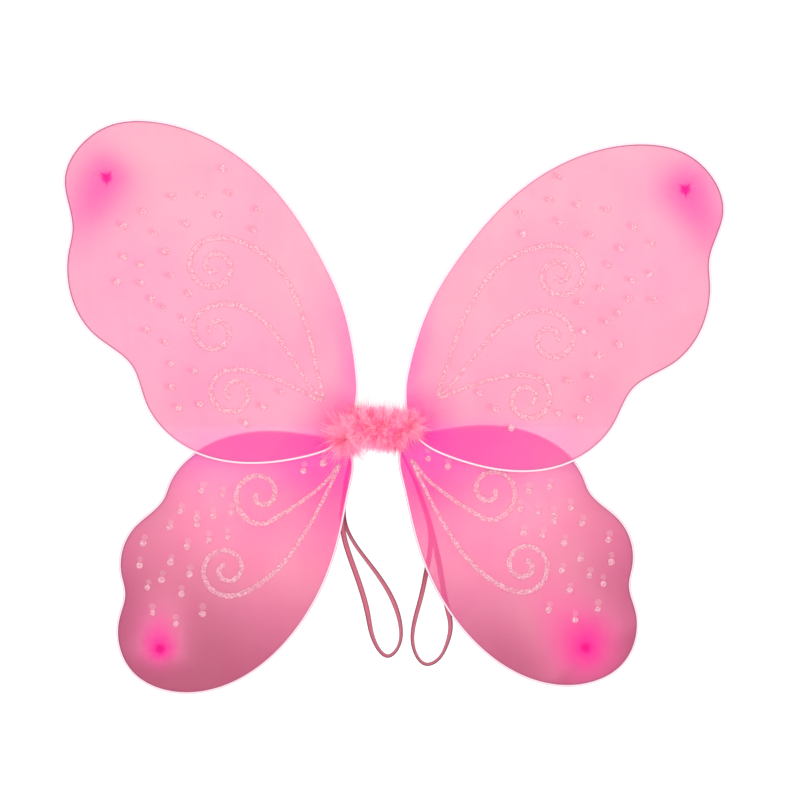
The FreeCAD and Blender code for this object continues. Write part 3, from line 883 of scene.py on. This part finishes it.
def drop(build, centre, radius, height, seed, way=-1.0, **marks):
    """One uneven drop of glue, standing towards way along Y."""
    spokes = DROP_SPOKES
    verts = [centre + point(0, way * height, 0)]
    for share in DROP_RINGS[1:]:
        for angle, (c, s) in zip(turns(spokes), circle(1, spokes)):
            r = radius * share * (1 + 0.14 * noise.noise((c * 1.3, s * 1.3, seed)))
            rise = height * (1 - share ** 2.2) * (1 + 0.3 * noise.noise((angle * 2, share * 3, seed + 5)))
            verts.append(centre + point(r * c, way * rise, r * s))
    verts += [vert - point(0, way * 0.25 * MM, 0) for vert in verts[-spokes:]]
    faces = [[0, 1 + k, 1 + (k + 1) % spokes] for k in range(spokes)]
    _, sides = skin([verts[1 + ring * spokes:][:spokes] for ring in range(len(DROP_RINGS))], first_cap=False)
    faces += [[v + 1 for v in face[:1] + face[:0:-1]] for face in sides]
    build.add(verts, faces if way < 0 else [face[::-1] for face in faces], **marks)


def glitter_drops(cover):
    """The drops on the front skin, and a faint patch beside each: on the back skin of an upper wing, on the
    front of a lower one.
    """
    rng = np.random.default_rng(31 + WINGS.index(cover.wing))
    drops, ghosts = Builder(), Builder()
    for index, (x, _, z) in enumerate(loose_centres(cover.wing + "_dots")):
        flat = point([x, z])
        size = rng.uniform(0.82, 1.08)
        y = cover.heights(flat, True)[0] + 0.08 * MM
        drop(drops, point(x, y, z), DROP_R * size, DROP_H * size, index * 1.7, body=GLUE_BODY + 0.1)
        ghost = flat + GHOST_SHIFT[cover.kind] + rng.normal(0, 0.7 * MM, 2)
        way = 1.0 if cover.upper else -1.0
        y = cover.heights(ghost, not cover.upper)[0] - way * 0.05 * MM
        place = point(ghost[0, 0], y, ghost[0, 1])
        radius = DROP_R * rng.uniform(0.8, 1.1)
        drop(ghosts, place, radius, GHOST_H, index * 2.3, way, pale=0.0 if cover.upper else 1.0)
    drops.make(cover.wing + "_drops", "glitter_glue", cover.body, cover.wing + "_dots")
    ghosts.make(cover.wing + "_drop_ghosts", "drop_ghost", cover.body, slot="glitter_glue")


# ---- marabou ----
BARB_SHARES = (0.0, 0.4, 0.75)  # where along a barb its rings of three points lie
BARB_FACES = [[r * 3 + k, r * 3 + (k + 1) % 3, r * 3 + 3 + (k + 1) % 3, r * 3 + 3 + k]
              for r in (0, 1) for k in range(3)]
BARB_FACES += [[6, 7, 9], [7, 8, 9], [8, 6, 9], [2, 1, 0]]
BARB_R = 0.17 * MM
CLUMP = (14, 21)  # barbs in a clump
BAR_Y = -12.5 * MM
BAR_LEFT_Z = 4.2 * MM
BAR_RIGHT_Z = -1.2 * MM
BAR_CORE = 12.9 * MM  # the radius of the fluffy bar's opaque heart
BAR_SWELL = 0.6 * MM  # its left end is this much smaller, its right end larger
BAR_REACH = 25 * MM  # half its length
BAR_SPLIT = 11 * MM  # barbs rooted farther out bend with the fold
BAR_BARB = 9.0 * MM  # how long its barbs are
BAR_CLUMPS = 330
END_CLUMPS = 150  # on each end of the bar
# the rosette over the necks: how long its barbs are, how many clumps, and how far its middle is lowered
ROSETTES = {"left": (15.5 * MM, 250, 2.5 * MM), "right": (12 * MM, 130, 0.0)}
ROSETTE_R = 6.5 * MM
PAD_GAP = 0.35 * MM
FLUFF_FRONT = -35 * MM  # no barb reaches farther forward
WING_SWEEP = 12.5 * MM  # a wing that spreads comes in this close to the middle


def barbs(build, roots, ways, bends, lengths, widths, tints):
    """Many thin tapered strands at once: each leaves its root along ways and curves by bends."""
    ways = unit(ways)
    side = unit(np.cross(ways, point(0.3, 0.5, 0.8)))
    other = np.cross(ways, side)
    rings = []
    for share in BARB_SHARES:
        centre = roots + ways * (lengths * share)[:, None] + bends * (lengths * share ** 2)[:, None]
        radius = (widths * (1 - share) ** 0.5)[:, None]
        rings += [centre + (side * c + other * s) * radius for c, s in circle(1, 3)]
    rings.append(roots + (ways + bends) * lengths[:, None])
    verts = np.stack(rings, 1)
    size = verts.shape[1]
    faces = [[v + size * barb for v in face] for barb in range(len(roots)) for face in BARB_FACES]
    tip = np.tile(np.repeat((*BARB_SHARES, 1.0), (3, 3, 3, 1)), len(roots))
    build.add(verts.reshape(-1, 3), faces, tip=tip, tint=np.repeat(tints, size))


def clump(build, rng, root, way, length):
    """A few barbs that leave together and lean the same way."""
    number = rng.integers(*CLUMP)
    way = unit(way + rng.normal(0, 0.22, 3))
    size = length * rng.uniform(0.75, 1.15)
    roots = root + rng.normal(0, 1.1 * MM, (number, 3))
    ways = unit(way + rng.normal(0, 0.24, (number, 3)))
    bends = rng.normal(0, 0.34, 3) + rng.normal(0, 0.14, (number, 3)) + (way - ways) * 0.5
    lengths = size * rng.uniform(0.55, 1.1, number)
    widths = BARB_R * rng.uniform(0.7, 1.25, number)
    tints = np.clip(rng.uniform(0.0, 1.0) + rng.normal(0, 0.12, number), 0, 1)
    barbs(build, roots, ways, bends, lengths, widths, tints)


def bar_middle(x):
    """A point of the fluffy bar's axis, which drops to the right."""
    share = (x / BAR_REACH + 1) / 2
    return point(x, BAR_Y, BAR_LEFT_Z + (BAR_RIGHT_Z - BAR_LEFT_Z) * share)


def bar_size(x):
    """The radius of the bar's heart."""
    return BAR_CORE + BAR_SWELL * x / BAR_REACH


def bar_core(build, start, end, taper):
    """The lumpy opaque heart of a stretch of the bar."""
    xs = np.linspace(start, end, 20)
    sides = 40

    def lumpy(i, n):
        size = bar_size(xs[i]) * (1 - taper * smooth(i / (n - 1), 0.4, 1.0))
        rough = [1 + 0.14 * noise.noise((xs[i] * 160, k * 0.5, 2.0)) for k in range(sides)]
        return circle(size, sides) * np.array(rough)[:, None]

    # tip 0.2 gives the heart the deep colour of the roots, painted shade inside the fluff
    build.add(*tube([bar_middle(x) for x in xs], lumpy), tip=0.2, tint=0.45)


def bar_clumps(build, rng, low, high, count, length):
    """Clumps rooted on a stretch of the bar's heart; their barbs lie outward, combed up or down."""
    for _ in range(count):
        x = low + (high - low) * rng.uniform(0, 1)
        turn = rng.uniform(0, FULL_TURN)
        radial = point(0, -math.cos(turn), math.sin(turn))
        comb = point(0.5 * x / BAR_REACH, 0, 0.75 * squared(math.sin(turn), 0.5))
        clump(build, rng, bar_middle(x) + radial * bar_size(x) * 0.9, radial * 0.75 + comb, length)


def fluffy(build, name, node, body=None, wing_front=math.inf):
    """A fluffy piece, its barbs kept within reach, off the pad, and in front of the wings' sweep."""
    pad_front = corners("back_pad")[0][1] - PAD_GAP
    for verts in build.verts:
        verts[:, 1] = np.clip(verts[:, 1], FLUFF_FRONT, pad_front)
        over_wing = np.abs(verts[:, 0]) > WING_SWEEP
        verts[over_wing, 1] = np.minimum(verts[over_wing, 1], wing_front)
    return build.make(name, "marabou", body, node)


def marabou_bar():
    """The middle of the fluffy roll that covers the bridge."""
    build = Builder()
    bar_core(build, -BAR_SPLIT - 2 * MM, BAR_SPLIT + 2 * MM, 0.0)
    bar_clumps(build, np.random.default_rng(5), -BAR_SPLIT, BAR_SPLIT, BAR_CLUMPS, BAR_BARB)
    fluffy(build, "marabou_bar", "marabou_sleeve", "hub")


def marabou_rosette(side, name):
    """The bar's end and the tuft over one side's necks; it bends with the fold there."""
    rng = np.random.default_rng(11 + (side > 0))
    reach, count, lowered = ROSETTES[name]
    low, high = corners(name + "_marabou_tuft")
    centre = point((low[0] + high[0]) / 2, high[1] - 1.0 * MM, (low[2] + high[2]) / 2 - lowered)
    wing_front = corners("upper_%s_scroll_1" % name)[0][1] - 0.4 * MM
    build = Builder()
    bar_core(build, side * BAR_SPLIT, side * BAR_REACH, 0.45)
    bar_clumps(build, rng, side * BAR_SPLIT, side * BAR_REACH * 0.92, END_CLUMPS, BAR_BARB * 0.95)
    # the tuft's lump, in the deep colour of the roots: painted shade inside the tuft
    drop(build, centre, 7.5 * MM, 6.5 * MM, 4.0, tip=0.15, tint=0.4)
    for _ in range(count):
        turn = rng.uniform(0, FULL_TURN)
        far = math.sqrt(rng.uniform(0, 1))
        spoke = point(math.cos(turn), 0, math.sin(turn))
        root = centre + spoke * far * ROSETTE_R + point(0, -6.0 * MM * (1 - far ** 2), 0)
        clump(build, rng, root, spoke * (0.3 + 0.9 * far) + point(0, -0.7, 0) * (1.2 - far), reach)
    piece = fluffy(build, name + "_marabou_rosette", name + "_marabou_tuft", wing_front=wing_front)
    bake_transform(piece)


# ---- elastic ----
STRAP_W = 5.4 * MM
STRAP_T = 1.15 * MM
STRAP_SIDES = 20
RING_BAND = (2.2 * MM, 0.8 * MM)  # width and thickness of the elastic drawn tight round the stem
KNOT_BAND = (1.7 * MM, 0.95 * MM)  # and in the knot
# how far the band is turned out of the wings' plane, in degrees: from -1, the top of the run
# nearer the left, through 0, the bottom of the loop, to 1, the top of the other run
TURNS = {
    "left": ((-1, 84), (-0.8, 50), (-0.6, 30), (-0.25, 25), (-0.08, 55), (0.06, 66), (0.25, 38), (0.5, 54),
             (0.8, 62), (1, 84)),
    "right": ((-1, 84), (-0.8, 60), (-0.5, 32), (-0.25, 40), (-0.06, 62), (0.08, 64), (0.25, 30),
              (0.5, 25), (0.8, 60), (1, 84)),
}
STRAP_LEAN = 4.5 * MM  # the runs lean outward below the knot, out of the gap
LEAN_DROP = 10 * MM  # how far below the knot they lean most
LEAN_SPREAD = 8 * MM


def band(build, path, width, thickness, pose=lambda section, i, n: section, closed=False):
    """Sweeps a flat band with rounded edges and shallow cords; pose turns its section as it goes."""
    section = []
    for c, s in circle(1, STRAP_SIDES):
        wide = width / 2 * squared(c, 0.75)
        cord = 1 + 0.12 * math.cos(CORDS * FULL_TURN * wide / width)
        section.append((wide, thickness / 2 * squared(s, 0.5) * cord))
    section = np.array(section)
    build.add(*tube(path, lambda i, n: pose(section, i, n), closed),
              along=np.repeat(travel(path) / MM, len(section)),
              across=np.tile(section[:, 0] / width + 0.5, len(path)))


def arm_strap(side, name):
    """The elastic loop, hanging with a lazy twist."""
    path = relax(centreline(name + "_arm_strap", 260), 3)
    if path[:60, 0].mean() + path[60:130, 0].mean() > path[130:200, 0].mean() + path[200:, 0].mean():
        path = path[::-1]
    lowest = int(np.argmin(path[:, 2]))
    below = path[:, 2].max() - path[:, 2]
    path[:, 0] += side * STRAP_LEAN * bell(below - LEAN_DROP, LEAN_SPREAD)

    def turned(section, i, n):
        share = (i - lowest) / (lowest if i < lowest else n - 1 - lowest)
        angle = math.radians(np.interp(share, *zip(*TURNS[name])))
        c, s = math.cos(angle), math.sin(angle)
        return section @ np.array([[c, s], [-s, c]])

    build = Builder()
    band(build, path, STRAP_W, STRAP_T, turned)
    build.make(name + "_elastic_loop", "elastic", name + "_arm_loop", name + "_arm_strap")


def strap_knot(name):
    """The elastic tied round the stem: a ring, a knot below it, and the run between them."""
    low, high = corners(name + "_strap_knot")
    _, y, z = JOINTS[name + "_arm_loop_swing"]
    axis = point((low[0] + high[0]) / 2, y, z)
    ring_r = high[2] - z - 0.42 * MM
    turn = turns(48)
    ring = axis + np.stack([0.15 * MM * np.sin(2 * turn), -ring_r * np.cos(turn), ring_r * np.sin(turn)], 1)
    lump = point(axis[0], high[1] - 2.2 * MM, low[2] + 2.4 * MM)    # the middle of the knot
    turn = turns(90)
    trefoil = ((np.sin(turn) + 2 * np.sin(2 * turn)) * 0.55, np.sin(3 * turn) * 0.75,
               (np.cos(turn) - 2 * np.cos(2 * turn)) * 0.5)
    build = Builder()
    band(build, ring, *RING_BAND, lambda section, i, n: section[:, ::-1], closed=True)
    band(build, np.stack(trefoil, 1) * MM + lump, *KNOT_BAND, closed=True)
    band(build, np.linspace(axis + point(0, 1, -1) * (ring_r * 0.72), lump, 8), *RING_BAND)
    build.make(name + "_tied_knot", "elastic", name + "_arm_loop", name + "_strap_knot")


# ---- bridge ----
WRAP_SIDES = 28
WRAP_RINGS = 22
FLEX_R = 1.02 * MM  # the bare wires that bend
TAIL_HALF = 1.12 * MM  # half the gap between the middles of a wing's two wire tails


def bridge_joint(side, name):
    """The stretch of bound wires that bends between the bridge and one stem."""
    _, y, z = JOINTS[name + "_wing_fold"]
    tape = corners("bridge_tape")[1]
    start = tape[0] - 0.8 * MM
    end = abs(corners(name + "_stem_tape")[0 if side > 0 else 1][0]) + 0.4 * MM
    path = [point(side * x, y, z) for x in np.linspace(start, end, WRAP_RINGS)]
    ring = circle(tape[2] - z + 0.06 * MM, WRAP_SIDES)

    def crinkled(i, n):
        rough = [1 - 0.06 * abs(noise.noise((i * 0.8, k * 0.9, 3.0))) for k in range(WRAP_SIDES)]
        return ring * np.array(rough)[:, None]

    piece = Builder().add(*tube(path, crinkled)).make(name + "_flex_wrap", "pink_tape")
    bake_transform(piece)


def neck_flex(side, name):
    """The bare lengths of wire that bend between the stem and each wing's tails."""
    end = corners(name + "_stem_wires")[1 if side > 0 else 0][0]
    bundle = sorted(wire_ends(name + "_stem_wires", end), key=lambda p: p[1])
    for wing, pair in (("upper_" + name, bundle[:2]), ("lower_" + name, bundle[2:])):
        _, along, across = neck_axes(COVERS[wing])
        tail = JOINTS[wing + "_spread"] - along * 0.9 * MM
        tails = [tail + across * TAIL_HALF, tail - across * TAIL_HALF]
        if (pair[0] - pair[1]) @ (tails[0] - tails[1]) < 0:
            tails.reverse()
        build = Builder()
        t = np.linspace(0, 1, 14)[:, None]
        for start, stop in zip(pair, tails):
            start = start - point(side * 0.2 * MM, 0, 0)
            lead = start + point(side * 1.0 * MM, 0, 0)
            rear = stop - along * 0.6 * MM
            curve = ((1 - t) ** 3 * start + 3 * t * (1 - t) ** 2 * lead
                     + 3 * t ** 2 * (1 - t) * rear + t ** 3 * stop)
            build.add(*tube(curve, circle(FLEX_R, 12)))
        piece = build.make(wing + "_flex_wires", "coated_wire")
        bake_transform(piece)


# the felt pad's section, from the back round to the front: how far in from its edge, in mm, and how far
# through its thickness; the dip holds the stitches
PAD_PROFILE = ((6, 0.0), (3.6, 0.0), (3.0, 0.22), (2.4, 0.0), (0.6, 0.02), (0.12, 0.16), (0, 0.5),
               (0.12, 0.84), (0.6, 1.0), (6, 1.0))
SEAM_INSET = 3.0 * MM
STITCHES = 60
STITCH = ((0.12, 0.30), (0.3, 0.12), (0.7, 0.12), (0.88, 0.30))  # share of its pitch, share of the depth


def felt_pad():
    """The soft pad that lies on the wearer's back, with a line of stitches."""
    low, high = corners("back_pad")
    half, centre = (high - low) / 2, (high + low) / 2
    corner = squared(circle(1, 96), 0.42)

    def outline(inset, share):
        """The pad's outline, drawn in by an inset, at a share of its thickness from the back."""
        flat = (half[[0, 2]] - inset) * corner + centre[[0, 2]]
        return np.insert(flat, 1, high[1] - 2 * half[1] * share, axis=1)

    build = Builder().add(*skin([outline(inset * MM, share) for inset, share in PAD_PROFILE]))
    build.make("felt_pad", "pink_felt", "hub", "back_pad")
    stitches = Builder()
    seam = resample(outline(SEAM_INSET, 0.0), STITCHES, closed=True)
    for first, second in zip(seam, np.roll(seam, -1, 0)):
        path = [first + (second - first) * share - (0, 2 * half[1] * dip, 0) for share, dip in STITCH]
        stitches.add(*tube(path, circle(0.2 * MM, 8)))
    stitches.make("pad_stitching", "pink_thread", "hub")


def kept_nodes():
    """The frame's own wires and tapes, given their looks."""
    looks = {"_wire": "coated_wire", "_wires": "coated_wire", "_tape": "pink_tape"}
    for name, piece in frame["nodes"].items():
        for ending, look in looks.items():
            if name.endswith(ending):
                piece.data.materials.clear()
                piece.data.materials.append(LOOKS[look])
                piece.data.polygons.foreach_set("material_index", [0] * len(piece.data.polygons))


# ---- stage ----
FLOOR_DROP = 0.05
FLOOR_HALF = 30.0
# each lamp's place, size and power
LAMPS = {"key": ((-0.9, -1.6, 1.3), 1.2, 9.0), "fill": ((1.4, -1.5, 0.4), 1.6, 4.0),
         "rim": ((0.4, 1.6, 1.2), 1.2, 5.0)}
CAMERA_PLACE = (0.0164, -3.0, 0.0319)
LENS = 150


def area_light(name, place, size, power):
    """A soft lamp that shines at the middle of the part."""
    lamp = bpy.data.lights.new(name, "AREA")
    lamp.size = size
    lamp.energy = power
    holder = bpy.data.objects.new(name, lamp)
    holder.location = place
    holder.rotation_mode = "QUATERNION"
    holder.rotation_quaternion = (-Vector(place)).to_track_quat("-Z", "Y")
    bpy.context.scene.collection.objects.link(holder)


def stage():
    """A pale floor, soft light from all round, and a camera facing the decorated side."""
    scene = bpy.context.scene
    level = CAD_BOX[0][2] - FLOOR_DROP
    h = FLOOR_HALF
    verts = [(-h, -h, level), (h, -h, level), (h, h, level), (-h, h, level)]
    mesh_object("floor", verts, [[0, 1, 2, 3]], LOOKS["pale_floor"])
    world = bpy.data.worlds.new("studio")
    world.use_nodes = True
    background = world.node_tree.nodes["Background"].inputs
    background["Color"].default_value = (1, 1, 1, 1)
    background["Strength"].default_value = 1.0
    scene.world = world
    scene.view_settings.view_transform = "Standard"
    for name, settings in LAMPS.items():
        area_light(name, *settings)
    lens = bpy.data.cameras.new("camera")
    lens.sensor_width = 36
    lens.lens = LENS
    camera = bpy.data.objects.new("camera", lens)
    camera.location = CAMERA_PLACE
    camera.rotation_euler = (math.pi / 2, 0, 0)
    scene.collection.objects.link(camera)
    scene.camera = camera


# ---- assembly ----
COVERS = {wing: Cover(wing) for wing in WINGS}
for cover in COVERS.values():
    nylon_cover(cover)
    toe_gather(cover)
    toe_thread(cover)
    neck_thread(cover)
    glitter_lines(cover)
    glitter_drops(cover)
marabou_bar()
for name, side in SIDES.items():
    marabou_rosette(side, name)
    arm_strap(side, name)
    strap_knot(name)
    bridge_joint(side, name)
    neck_flex(side, name)
felt_pad()
kept_nodes()
stage()
